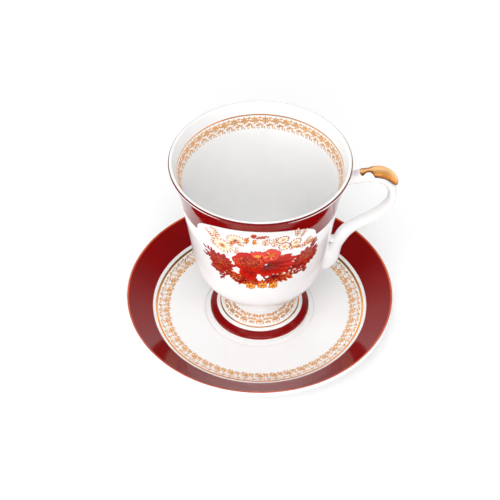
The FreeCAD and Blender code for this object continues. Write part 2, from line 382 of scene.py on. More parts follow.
def makeBodies():
    dish = turned("saucerBody", topLine + evenLine(saucerUnder()), "porcelain")
    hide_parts("saucer")
    bowl = turned("mugBody", mugUnder() + outerLine + innerLine, "porcelain", up=cupFoot)
    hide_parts("cup")
    for piece, height in ((dish, 0.0), (bowl, cupFoot)):
        tidyNormals(piece)
        piece.data.materials.append(finishes["bare"])
        for face in piece.data.polygons:
            if max(abs(piece.data.vertices[k].co.z - height * mm) for k in face.vertices) < 0.3 * mm:
                face.material_index = 1     # the ring it stands on is left unglazed


def tidyNormals(piece):
    shape = bmesh.new()
    shape.from_mesh(piece.data)
    bmesh.ops.remove_doubles(shape, verts=shape.verts, dist=1e-7)
    bmesh.ops.recalc_face_normals(shape, faces=shape.faces)
    shape.to_mesh(piece.data)
    shape.free()
    piece.data.set_sharp_from_angle(angle=math.radians(38))


# Skins: places on a turned surface
def skin(line, up, outward):
    # gives places by angle, distance along the line and lift off the surface
    points = np.array([(p.x, p.y) for p in line])
    lengths = np.concatenate([[0], np.cumsum(np.linalg.norm(np.diff(points, axis=0), axis=1))])

    def spot(distance):
        return np.array([np.interp(distance, lengths, points[:, axis]) for axis in (0, 1)])

    def place(angle, distance, lift):
        dr, dz = spot(distance + 0.2) - spot(distance - 0.2)
        r, z = spot(distance) + lift * outward * np.array([dz, -dr]) / np.hypot(dr, dz)
        return np.stack([r * np.sin(angle), -r * np.cos(angle), z + up], -1) * mm
    place.lengths, place.points = lengths, points
    return place


def distanceAtHeight(place, height):
    return float(np.interp(height, place.points[:, 1], place.lengths))


def distanceAtRadius(place, radius):
    return float(np.interp(radius, place.points[:, 0], place.lengths))


# Handle
handle = {
    "drop": 12.0, "foot": 35.9, "reach": 29.7, "thick": 5.0, "width": 8.0,
    "fillet": 3.2, "spurClimb": 0.302, "spurFillet": 1.4,
    "restRise": 3.4, "restThick": 4.8, "restWidth": 8.8,
    # climb up the handle, way out from the wall, thickness and width as shares of its own
    "course": [
        (0.965, 0.044, 1.72, 1.32), (0.978, 0.169, 1.54, 1.14), (0.988, 0.316, 1.36, 1.04),
        (1.000, 0.529, 1.18, 1.00), (0.993, 0.758, 1.06, 1.00), (0.936, 0.963, 1.00, 1.00),
        (0.842, 1.074, 0.98, 0.98), (0.741, 1.084, 1.00, 0.98), (0.637, 0.973, 1.06, 0.98),
        (0.541, 0.754, 1.12, 0.98), (0.467, 0.534, 1.26, 0.98), (0.395, 0.385, 1.50, 0.98),
        (0.319, 0.313, 1.48, 0.98), (0.243, 0.281, 1.28, 0.96), (0.171, 0.254, 1.52, 1.00),
        (0.092, 0.219, 1.80, 1.16), (0.030, 0.138, 1.68, 1.12), (0.009, -0.012, 1.28, 0.90),
    ],
    # the thumb rest adds its rise above the arm before thickness and width
    "rest": [
        (1.000, 0.340, 0.10, 1.02, 0.90), (1.000, 0.400, 0.26, 1.06, 0.95),
        (1.000, 0.470, 0.42, 1.02, 0.96), (1.000, 0.600, 0.76, 1.00, 0.97),
        (0.993, 0.764, 1.04, 1.00, 1.00), (0.975, 0.910, 0.96, 1.00, 1.00),
        (0.945, 1.020, 0.82, 0.90, 0.96), (0.915, 1.090, 0.74, 0.70, 0.78),
        (0.900, 1.120, 0.76, 0.44, 0.52), (0.894, 1.128, 0.77, 0.10, 0.12),
    ],
    # lower edge of the gilding: place along the rest, degrees down from its front to its crown
    "gilding": [
        (0.085, 88), (0.095, 62), (0.11, 50), (0.13, 42), (0.155, 42), (0.19, 54), (0.24, 65), (0.30, 64),
        (0.345, 46), (0.375, 14), (0.39, -12), (0.43, -30), (0.50, -38), (0.62, -42), (0.85, -46),
        (1.00, -50),
    ],
    "spur": [(0.060, 0.50, 0.50), (0.150, 0.60, 0.62), (0.270, 1.00, 0.88)],    # out, thickness, width
    "clear": 0.8,                           # how far a root stays back from the inside of the mug
}


def alongHandle(climb, out):
    h, m = handle, mug
    wallLine = m["bowl"] - m["wall"] + climb * (m["flare"] - m["bowl"])
    return wallLine + out * h["reach"], h["foot"] + climb * (m["height"] - h["drop"] - h["foot"])


def smoothed(nodes, slopes, index, t, gap=1.0):
    # from a node to the next, keeping the slope at each
    return ((2 * t**3 - 3 * t**2 + 1) * nodes[index] + (t**3 - 2 * t**2 + t) * gap * slopes[index]
            + (3 * t**2 - 2 * t**3) * nodes[index + 1] + (t**3 - t**2) * gap * slopes[index + 1])


def smoothCourse(stations, count):
    # an even, smooth run through given stations
    nodes = np.array(stations, float)
    chord = np.concatenate([[0], np.cumsum(np.linalg.norm(np.diff(nodes[:, :2], axis=0), axis=1))])
    slopes = np.gradient(nodes, chord, axis=0)
    spots = np.linspace(0, chord[-1], count)
    index = np.clip(np.searchsorted(chord, spots, side="right") - 1, 0, len(chord) - 2)
    gap = (chord[index + 1] - chord[index])[:, None]
    return smoothed(nodes, slopes, index, (spots - chord[index])[:, None] / gap, gap)


def tube(stations, count, sides, fillet=0.0, angles=None):
    # ellipses across a course in the plane of the handle, flaring out where they meet the mug
    run = smoothCourse(stations, count)
    way = np.gradient(run[:, :2], axis=0)
    way /= np.linalg.norm(way, axis=1)[:, None]
    verts = []
    for k in range(count):
        turn = angles[k] if angles is not None else np.linspace(0, 2 * math.pi, sides, endpoint=False)
        thick, wide = max(run[k, 2], 0.05) / 2, max(run[k, 3], 0.05) / 2
        rise, across = thick * np.sin(turn), -wide * np.cos(turn)
        length = np.hypot(rise, across)
        for _ in range(3 if fillet else 1):
            x = run[k, 0] - way[k, 1] * rise
            z = run[k, 1] + way[k, 0] * rise
            gap = np.clip(np.hypot(x, across) - np.interp(z, outerHeights, outerRadii), 0, fillet)
            flare = fillet - np.sqrt(np.maximum(fillet**2 - (fillet - gap)**2, 0)) if fillet else 0 * gap
            grown = 1 + flare / length
            rise, across = thick * np.sin(turn) * grown, -wide * np.cos(turn) * grown
        x = run[k, 0] - way[k, 1] * rise
        z = run[k, 1] + way[k, 0] * rise
        # nothing of the root comes through to the inside of the mug
        least = np.interp(z, innerHeights, innerRadii) + handle["clear"]
        x = np.where(np.hypot(x, across) < least, np.sqrt(np.maximum(least**2 - across**2, 0)), x)
        verts += [(a * mm, b * mm, (c + cupFoot) * mm) for a, b, c in zip(x, across, z)]
    ends = [tuple(range(sides))[::-1], tuple(range((count - 1) * sides, count * sides))]
    return verts, ringFaces(count, sides) + ends


def makeHandle():
    h = handle

    def sized(climb, out, thick, wide):
        return *alongHandle(climb, out), thick * h["thick"], wide * h["width"]

    course = [sized(*station) for station in h["course"]]
    spur = [sized(h["spurClimb"], *station) for station in h["spur"]]
    arm = newPiece("mugHandle", *tube(course, 360, 64, h["fillet"]), ["porcelain"], crease=60)
    tie = newPiece("mugHandleSpur", *tube(spur, 40, 40, h["spurFillet"]), ["porcelain"], crease=60)
    for piece in (arm, tie):
        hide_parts("cup")


def makeThumbRest():
    h = handle
    stations = []
    for climb, out, rise, thick, wide in h["rest"]:
        x, z = alongHandle(climb, out)
        stations.append((x, z + rise * h["restRise"], thick * h["restThick"], wide * h["restWidth"]))
    count, sides, gilded = 150, 96, 64      # rings along it, sides round it and how many are gilded
    places, edges = zip(*h["gilding"])
    angles = []
    for k in range(count):
        low = math.radians(min(np.interp(k / (count - 1), places, edges), 89.5))
        over = np.linspace(low, math.pi - low, gilded, endpoint=False)
        under = np.linspace(math.pi - low, 2 * math.pi + low, sides - gilded, endpoint=False)
        angles.append(np.concatenate([over, under]))
    first = int(places[0] * (count - 1))
    which = [1 if j < gilded and k >= first else 0 for k in range(count - 1) for j in range(sides)] + [0, 1]
    # painted light on the gold: a painted highlight over the crown, and painted shade, browner, at its
    # edges and towards the tip
    across = [min(j, gilded - j) / (gilded / 2) if j < gilded else 0 for j in range(sides)]
    shade = [step * min(1.0, 0.35 + (count - 1 - k) / 22) for k in range(count) for step in across]
    rest = newPiece("mugThumbRest", *tube(stations, count, sides, angles=angles), ["porcelain", "satin"],
                    which, shade, crease=60)
    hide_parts("cup")


# Bands
def bandPiece(name, place, low, high, finish, lift=0.035, steps=12):
    # a glaze band between two edges, each a number or a function of the angle
    angles = np.linspace(0, 2 * math.pi, around * 2, endpoint=False)
    lows, highs = (np.array([edge(a) if callable(edge) else edge for a in angles]) for edge in (low, high))
    # the first and last rings dip under the glaze, so the band has no open edge to see
    rows = [(0, -lift)] + [(k / steps, lift) for k in range(steps + 1)] + [(1, -lift)]
    verts = np.concatenate([place(angles, lows + (highs - lows) * share, rise) for share, rise in rows])
    piece = newPiece(name, verts, ringFaces(len(rows), len(angles)), [finish], crease=80)
    slots = dict.fromkeys(("maroon", "line", "edge"), "maroon_glaze")
    slots.get(finish, "gilding")


def makeBands():
    s, m = saucer, mug
    top = skin(topLine, 0, -1)
    outer = skin(outerLine, cupFoot, 1)
    inner = skin(innerLine, cupFoot, 1)
    bandInner, bandOuter, edgeLine, goldLine = (
        distanceAtRadius(top, s[key]) for key in ("bandInner", "bandOuter", "edgeLine", "goldLine"))
    bandPiece("saucerBand", top, bandInner, bandOuter, "maroon")
    bandPiece("saucerEdgeLine", top, bandOuter, edgeLine, "edge", steps=3)
    bandPiece("saucerGoldLine", top, goldLine, goldLine + s["goldLineWidth"], "gold", steps=3)

    def archEdge(angle):
        degrees = math.degrees(math.remainder(angle, 2 * math.pi))
        for centre in (m["archCentre"], m["archCentre"] + 180):
            away = abs(math.remainder(degrees - centre, 360)) / m["archHalf"]
            if away < 1:
                return distanceAtHeight(outer, m["bandLow"] + m["archRise"] * math.sqrt(1 - away * away))
        return distanceAtHeight(outer, m["bandLow"])

    lip = distanceAtHeight(outer, m["lipLine"])
    bandPiece("mugBand", outer, archEdge, lip, "maroon", steps=16)
    bandPiece("mugLipLine", outer, lip, lip + m["lipLineWidth"], "line", steps=4)
    foot = skin([p for p in outerLine if p.y < m["footTop"] and p.x > m["stem"]], cupFoot, 1)
    footEdge, bandLow = (distanceAtHeight(foot, m[key]) for key in ("footEdgeLine", "footBandLow"))
    shoulder = foot.points[:, 1] > m["footEdge"] / 2
    bandTop, goldOut, goldIn, laceLine = (
        float(np.interp(-m[key], -foot.points[shoulder, 0], foot.lengths[shoulder]))
        for key in ("footBandTop", "footGoldOut", "footGoldIn", "footLace"))
    bandPiece("footBand", foot, bandLow, bandTop, "maroon")
    bandPiece("footEdgeLine", foot, footEdge, bandLow, "edge", steps=3)
    bandPiece("footGoldLine", foot, goldOut, goldIn, "gold", steps=2)
    innerAt = float(np.interp(-m["innerLine"], -inner.points[:, 1], inner.lengths))
    bandPiece("innerGoldLine", inner, innerAt, innerAt + m["innerLineWidth"], "gold", steps=3)
    return {"top": top, "outer": outer, "inner": inner, "foot": foot, "goldLine": goldLine,
            "innerLine": innerAt, "footLace": laceLine}


# Painting: petals, leaves, stems and dots laid on a skin
paint = {"layer": 0.028, "sink": 0.03, "bouquetRadius": 43.0}


def newArt():
    return {"spots": [], "faces": [], "which": [], "shade": [], "finishes": []}


def layGrid(art, xs, ys, lifts, shades, finish):
    # xs, ys and lifts are grids: rows along the stroke, columns across it
    rows, columns = xs.shape
    start = sum(len(block) for block in art["spots"])
    art["spots"].append(np.stack([xs, ys, lifts], -1).reshape(-1, 3))
    art["shade"].append(shades.reshape(-1))
    if finish not in art["finishes"]:
        art["finishes"].append(finish)
    kind = art["finishes"].index(finish)
    for a in range(rows - 1):
        for b in range(columns - 1):
            one = start + a * columns + b
            art["faces"].append((one, one + 1, one + columns + 1, one + columns))
            art["which"].append(kind)


def petal(art, x, y, heading, length, width, finish, layer=0, full=1.0, blunt=0.7, bend=0.0,
          teeth=0, dome=0.10, veins=0, fine=(9, 7)):
    # full > 1 carries the widest place towards the tip, blunt < 1 rounds it
    u = np.linspace(0, 1, fine[0] + 2 * teeth)[:, None]
    v = np.linspace(-1, 1, fine[1])[None, :]
    half = width / 2 * np.clip(np.sin(math.pi * u**full), 0, 1)**blunt + 0.02
    if teeth:
        half = half * (0.80 + 0.32 * (1 - (u * teeth) % 1.0))
    turn = np.radians(heading + bend * (u - 0.5))
    step = length / (len(u) - 1)
    cx = x + np.concatenate([[[0]], np.cumsum(np.cos(turn)[:-1], axis=0) * step])
    cy = y + np.concatenate([[[0]], np.cumsum(np.sin(turn)[:-1], axis=0) * step])
    xs = cx - np.sin(turn) * half * v
    ys = cy + np.cos(turn) * half * v
    sunk = paint["sink"] * (np.abs(v) > 0.99)       # edges dip so that no petal floats
    lifts = paint["layer"] * (layer + 1) + dome * (1 - v**2) * np.sin(math.pi * u) - sunk
    shades = 0.15 + 0.75 * u - 0.25 * (1 - np.abs(v)) * (1 - u) + 0 * v
    if veins:
        shades = shades - 0.24 * (np.cos(v * math.pi * veins) > 0.6) * (u < 0.85)
    layGrid(art, xs, ys, lifts, shades, finish)


def ahead(x, y, degrees, reach):
    turn = math.radians(degrees)
    return x + reach * math.cos(turn), y + reach * math.sin(turn)


def outlined(art, x, y, heading, length, width, finish, line="brown", layer=0, rim=0.22, **shape):
    # a light petal over a slightly larger dark one
    petal(art, *ahead(x, y, heading, -rim), heading, length + 2 * rim, width + 2 * rim, line, layer,
          **shape)
    petal(art, x, y, heading, length, width, finish, layer + 1, **shape)


def stroke(art, points, width, finish, layer=0, taper=0.35, dome=0.06):
    # a brush line through a few points
    nodes = np.array(points, float)
    fine = np.linspace(0, len(nodes) - 1, 6 * len(nodes))
    slopes = np.gradient(nodes, axis=0)
    k = np.clip(fine.astype(int), 0, len(nodes) - 2)
    line = smoothed(nodes, slopes, k, (fine - k)[:, None])
    way = np.gradient(line, axis=0)
    way /= np.linalg.norm(way, axis=1)[:, None] + 1e-9
    v = np.array([-1, 0, 1.0])[None, :]
    share = np.linspace(0, 1, len(line))[:, None]
    half = width / 2 * (taper + (1 - taper) * np.sin(math.pi * share)) * v
    xs, ys = line[:, :1] - way[:, 1:] * half, line[:, 1:] + way[:, :1] * half
    lifts = paint["layer"] * (layer + 1) + dome * (1 - np.abs(v)) + 0 * share - paint["sink"] * np.abs(v)
    layGrid(art, xs, ys, lifts, 0.5 + 0 * xs, finish)


def dot(art, x, y, radius, finish, layer=0, dome=0.10):
    petal(art, x - radius, y, 0, 2 * radius, 2 * radius, finish, layer, 1.0, 0.5, dome=dome, fine=(5, 5))


def layArt(name, art, place, turns, radius, toDistance):
    # wrap the painted plane round a turned surface, once for each turn given in radians
    spots = np.concatenate(art["spots"])
    distance = toDistance(spots[:, 1])
    verts = np.concatenate([place(spots[:, 0] / radius + turn, distance, spots[:, 2]) for turn in turns])
    faces = [tuple(len(spots) * k + corner for corner in face)
             for k in range(len(turns)) for face in art["faces"]]
    shade = np.tile(np.concatenate(art["shade"]), len(turns))
    piece = newPiece(name, verts, faces, art["finishes"], art["which"] * len(turns), shade, crease=75)


# Gilded lace
lace = {
    # each border repeats round a circle, a gap away from its gold line; all is placed by its share of the
    # repeat and its distance from the gap. Then, sprays: heading, leaves, length, width, spread between
    # leaves; curls: radius, start, sweep, width, finish; seeds: radius
    "inner": {
        "repeats": 47, "radius": 45, "gap": 0.7, "stretch": 1.0, "bold": 1.1, "dome": 0.07, "grains": 7,
        "strokes": [([(-0.5, 5.0), (-0.25, 4.5), (0, 5.0), (0.25, 5.5), (0.5, 5.0)], 0.42, "gold")],
        "sprays": [
            (0, 3.1, -90, 5, 2.5, 1.1, 46), (0, 3.2, 90, 3, 1.8, 0.8, 55), (0.5, 2.4, 80, 2, 1.7, 0.7, 50),
            (0.5, 2.0, -90, 3, 1.4, 0.7, 58), (0.42, 5.0, 60, 3, 1.6, 0.7, 50),
            (-0.28, 5.5, 105, 4, 1.9, 0.7, 42), (0.12, 6.5, 15, 1, 1.7, 0.65, 0),
            (0.10, 6.6, 100, 1, 1.7, 0.65, 0), (-0.45, 7.2, 60, 1, 1.5, 0.6, 0),
            (0.36, 7.0, 120, 1, 1.3, 0.55, 0),
        ],
        "curls": [(0.24, 3.3, 0.95, -60, 300, 0.34, "lace"), (-0.24, 3.2, 0.90, 240, -300, 0.34, "lace")],
        "seeds": [(0, 3.1, 0.42), (0.24, 1.8, 0.30), (-0.22, 1.7, 0.30), (-0.14, 6.3, 0.30),
                  (0.28, 6.1, 0.30), (0.24, 7.7, 0.30), (-0.22, 7.6, 0.30), (0, 7.9, 0.30)],
    },
    "saucer": {
        "repeats": 42, "radius": 57, "gap": 0.3, "stretch": 1.06, "bold": 1.25, "dome": 0.07, "grains": 13,
        "strokes": [([(-0.5, 3.4), (-0.25, 1.4), (0, 2.2), (0.25, 4.3), (0.5, 3.4)], 0.46, "gold")],
        "sprays": [
            (0, 4.7, 90, 5, 2.3, 0.85, 58), (0, 4.6, -90, 2, 1.6, 0.7, 80),
            (-0.45, 1.5, -70, 3, 1.5, 0.65, 52), (0.02, 1.2, -90, 3, 1.1, 0.6, 58),
            (0.44, 4.8, 92, 4, 2.0, 0.7, 40), (-0.20, 5.6, 120, 3, 1.6, 0.6, 46),
            (0.22, 5.4, 45, 2, 1.6, 0.6, 50), (-0.44, 4.4, 215, 2, 1.3, 0.6, 55),
            (0.10, 3.2, 160, 1, 1.4, 0.6, 0),
        ],
        "curls": [(-0.24, 3.7, 1.30, -100, 330, 0.38, "gold"), (0.26, 1.8, 1.15, 80, 330, 0.38, "gold")],
        "seeds": [(0, 4.6, 0.48)],
    },
    "foot": {
        "repeats": 13, "radius": 19, "gap": 0.4, "stretch": 1.10, "bold": 1.3, "dome": 0.05, "grains": 6,
        "strokes": [([(-0.5, 4.8), (-0.25, 5.6), (0, 4.9), (0.25, 5.6), (0.5, 4.8)], 0.32, "gold"),
                    ([(0, 0.3), (0.011, 1.2), (0, 2.4)], 0.36, "lace")],
        "sprays": [
            (0, 1.8, 90, 5, 2.5, 0.75, 36), (-0.42, 5.2, 60, 4, 1.4, 0.55, 55),
            (-0.22, 5.2, 60, 4, 1.4, 0.55, 55), (0.06, 5.2, 140, 4, 1.4, 0.55, 55),
            (0.28, 5.2, 140, 4, 1.4, 0.55, 55), (0.5, 1.1, 90, 3, 2.0, 0.65, 48),
            (0.5, 3.0, 90, 3, 1.5, 0.6, 52), (-0.33, 2.9, 70, 3, 1.5, 0.6, 45),
            (0.33, 2.9, 110, 3, 1.5, 0.6, 45), (-0.36, 1.0, 120, 1, 1.4, 0.6, 0),
            (0.36, 1.0, 60, 1, 1.4, 0.6, 0),
        ],
        "curls": [(-0.147, 1.4, 0.95, 20, 300, 0.32, "gold"), (0.147, 1.4, 0.95, 160, -300, 0.32, "gold")],
        "seeds": [],
    },
}


def leafSpray(art, x, y, heading, count, length, width, spread, finish, **shape):
    # a fan of leaves about a heading, or a whole ring of them
    for k in range(count):
        petal(art, x, y, heading + spread * (k - (count - 1) / 2), length, width, finish, **shape)


def curl(art, x, y, radius, start, sweep, width, finish):
    # a tendril that winds in on itself
    steps = np.linspace(0, 1, 6)
    stroke(art, [ahead(x, y, start + sweep * k, radius * (1 - 0.55 * k)) for k in steps], width, finish)


def drawLace(look, pitch):
    # x runs round the turned surface, y leads away from the gold line
    art = newArt()
    bold = look["bold"]
    for points, width, finish in look["strokes"]:
        stroke(art, [(pitch * share, y) for share, y in points], width * bold, finish)
    for share, y, heading, count, length, width, spread in look["sprays"]:
        leafSpray(art, pitch * share, y, heading, count, length, width * bold, spread, "lace",
                  fine=(6, 5), dome=look["dome"])
    for share, y, radius, start, sweep, width, finish in look["curls"]:
        curl(art, pitch * share, y, radius, start, sweep, width * bold, finish)
    for share, y, radius in look["seeds"]:
        dot(art, pitch * share, y, radius * bold, "lace", 1)
    scatter = random.Random(look["repeats"])
    for _ in range(look["grains"]):      # gold strewn between leaves
        dot(art, scatter.uniform(-0.5, 0.5) * pitch, scatter.uniform(0.6, 6.6),
            scatter.uniform(0.22, 0.36), "gold")
    return art


def makeLace(skins):
    # each border keeps its distance from a gold line: down into the mug, in over the well, up the foot
    for name, key, place, line, way in (
            ("mugInnerLace", "inner", skins["inner"], skins["innerLine"], 1),
            ("saucerLace", "saucer", skins["top"], skins["goldLine"], -1),
            ("mugFootLace", "foot", skins["foot"], skins["footLace"], 1)):
        look = lace[key]
        turn = 2 * math.pi / look["repeats"]
        turns = [turn * k for k in range(look["repeats"])]
        layArt(name, drawLace(look, turn * look["radius"]), place, turns, look["radius"],
               lambda y: line + way * (look["gap"] + y * look["stretch"]))


# Bouquet
bouquet = {
    "seed": 7,
    # sideways place in degrees from the front, height above the mug's foot
    "heart": (-8.5, 79.5), "fan": (5, 77.5), "crown": (7.5, 86.5), "bud": (-2, 86.0),
    "left": (-31.5, 74.0), "right": (37, 76),
    "daisy": (-28, 90), "halfDaisy": (-17, 97.5),
    "rounds": [(15.5, 99.0), (17.0, 92.6), (25.5, 93.5)],
    "orangeBlooms": [(-8, 58.5), (1.5, 59.5), (10.5, 58.6)],
    # place, heading, length, width and finish of the leaves under the blooms
    "leaves": [
        (-7, 67, 186, 15.0, 4.6, "leaf"), (-6, 66, 206, 13.0, 4.4, "deep"), (-4, 66, 232, 8.5, 3.6, "leaf"),
        (5, 66, -6, 16.5, 4.8, "leaf"), (6, 68, -22, 13.0, 4.4, "deep"), (4, 66, -48, 9.0, 3.8, "leaf"),
        (9, 70, 8, 13.0, 4.0, "deep"), (-3, 66, 262, 7.0, 3.2, "leaf"), (-24, 72, 262, 7.5, 3.6, "deep"),
        (-34, 72, 238, 7.5, 3.4, "deep"), (24, 74, -34, 8.0, 3.4, "deep"),
    ],
    # place, heading and length of the dark sprigs
    "sprigs": [
        (-35, 76, 165, 7.5), (-35, 79, 140, 7.5), (-37, 74, 178, 5.5), (-29, 67, 245, 6.5),
        (-25, 67, 290, 6), (17, 67, 24, 9), (22, 65, 38, 9.5), (27, 66, 20, 7.5), (33, 70, -30, 6),
        (27, 71, 60, 6), (2, 62, 72, 12), (40, 82, 62, 5), (-22, 80, 30, 5),
    ],
    # and of the light ones between the pale flowers, with their finish
    "lightSprigs": [
        (-37, 86, 80, 8, "cream"), (-34, 94, 60, 7, "cream"), (-36, 92, 100, 6, "cream"),
        (-31, 96, 85, 6, "cream"), (-22, 92, 60, 5, "orange"), (-11, 96, 75, 5, "orange"),
        (-12, 93, 140, 4, "cream"), (-4, 102.5, 8, 5.5, "leaf"), (-6, 102, 60, 3, "leaf"),
        (-6, 97, 30, 3, "orange"), (25, 98.5, 75, 6.5, "cream"), (28, 97, 40, 5.5, "cream"),
        (30, 86.5, 40, 7, "cream"), (32, 88, 20, 6.5, "orange"), (3, 94, 95, 6, "cream"),
        (9, 93, 80, 7, "cream"), (30, 87, 120, 5.5, "orange"), (-20, 86, 30, 5, "cream"),
        (21, 88, 60, 5, "cream"), (12, 95, 120, 5, "cream"),
    ],
    "sprigLeaves": 7,
}


def spotAt(degrees, height):
    return math.radians(degrees) * paint["bouquetRadius"], height


def fullBloom(art, x, y, rings, layer, squash, draw):
    # rings of petals from the outside in: (count, length, width, finish, turn, pointed)
    for depth, (count, length, width, finish, turn, pointed) in enumerate(rings):
        for k in range(count):
            heading = turn + 360 * k / count + draw.uniform(-6, 6)
            flat = 1 - (1 - squash) * abs(math.sin(math.radians(heading)))
            reach = length * draw.uniform(0.88, 1.08) * flat
            line = "orange" if depth % 2 else "deep"
            outlined(art, x, y, heading, reach, width, finish, line, layer + depth, 0.16,
                     full=0.95 if pointed else 1.25, blunt=0.75 if pointed else 0.55,
                     bend=draw.uniform(-14, 14), veins=2, dome=0.14)
            for side in (-5, 6):     # fine lines of orange enamel along each petal
                petal(art, x, y, heading + side, reach * draw.uniform(0.72, 0.88), 0.30, "orange",
                      layer + depth + 2, 0.9, 0.9, fine=(7, 3))


def dotRing(art, x, y, reach, count, radius, finish, layer):
    for k in range(count):
        dot(art, *ahead(x, y, 360 * k / count, reach), radius, finish, layer)


def mumBloom(art, x, y, reach, draw):
    # a dark bloom of many narrow petals
    rings = [(15, 1.00, 0.40, "deep", 0), (14, 0.86, 0.34, "deep", 12), (12, 0.70, 0.30, "leaf", 4),
             (10, 0.54, 0.26, "deep", 20), (8, 0.36, 0.20, "leaf", 0)]
    fullBloom(art, x, y, [(count, reach * length, reach * width, finish, turn, True)
                          for count, length, width, finish, turn in rings], 1, 0.92, draw)


def sprig(art, x, y, heading, length, size, finish, line, draw):
    # a curved stem with leaves on both sides and one at its end
    leaves = bouquet["sprigLeaves"]
    bend = math.degrees(draw.uniform(-0.25, 0.25))
    points = [ahead(x, y, heading + bend * k, length * k / 3) for k in range(4)]
    stroke(art, points, 0.36, line)
    for k in range(leaves):
        share = (k + 1) / leaves * 3
        low = min(int(share), 2)
        part = share - low
        px, py = (points[low][axis] * (1 - part) + points[low + 1][axis] * part for axis in (0, 1))
        side = (48 if k % 2 else -48) * (k < leaves - 1)
        reach = size * draw.uniform(0.8, 1.15)
        if line == "brown":
            outlined(art, px, py, heading + side, reach, size * 0.52, finish, "brown", 0, 0.17, fine=(6, 5))
        else:
            petal(art, px, py, heading + side, reach, size * 0.52, finish, 1, fine=(6, 5))


def leafBranch(art, x, y, heading, length, width, finish, draw):
    # a long toothed leaf with smaller ones fanned from it, each with a bright tip
    petal(art, x, y, heading, length, width, finish, 0, 0.95, 0.8, bend=draw.uniform(-16, 16), teeth=5,
          veins=2)
    for share, side in ((0.25, -52), (0.32, 46), (0.50, -42), (0.56, 40), (0.72, -30)):
        px, py = ahead(x, y, heading, share * length)
        petal(art, px, py, heading + side, width * draw.uniform(1.1, 1.4), width * 0.46, finish, 1, veins=1)
        petal(art, *ahead(px, py, heading + side, width * 0.85), heading + side, width * 0.42,
              width * 0.15, "orange", 2, fine=(6, 5))


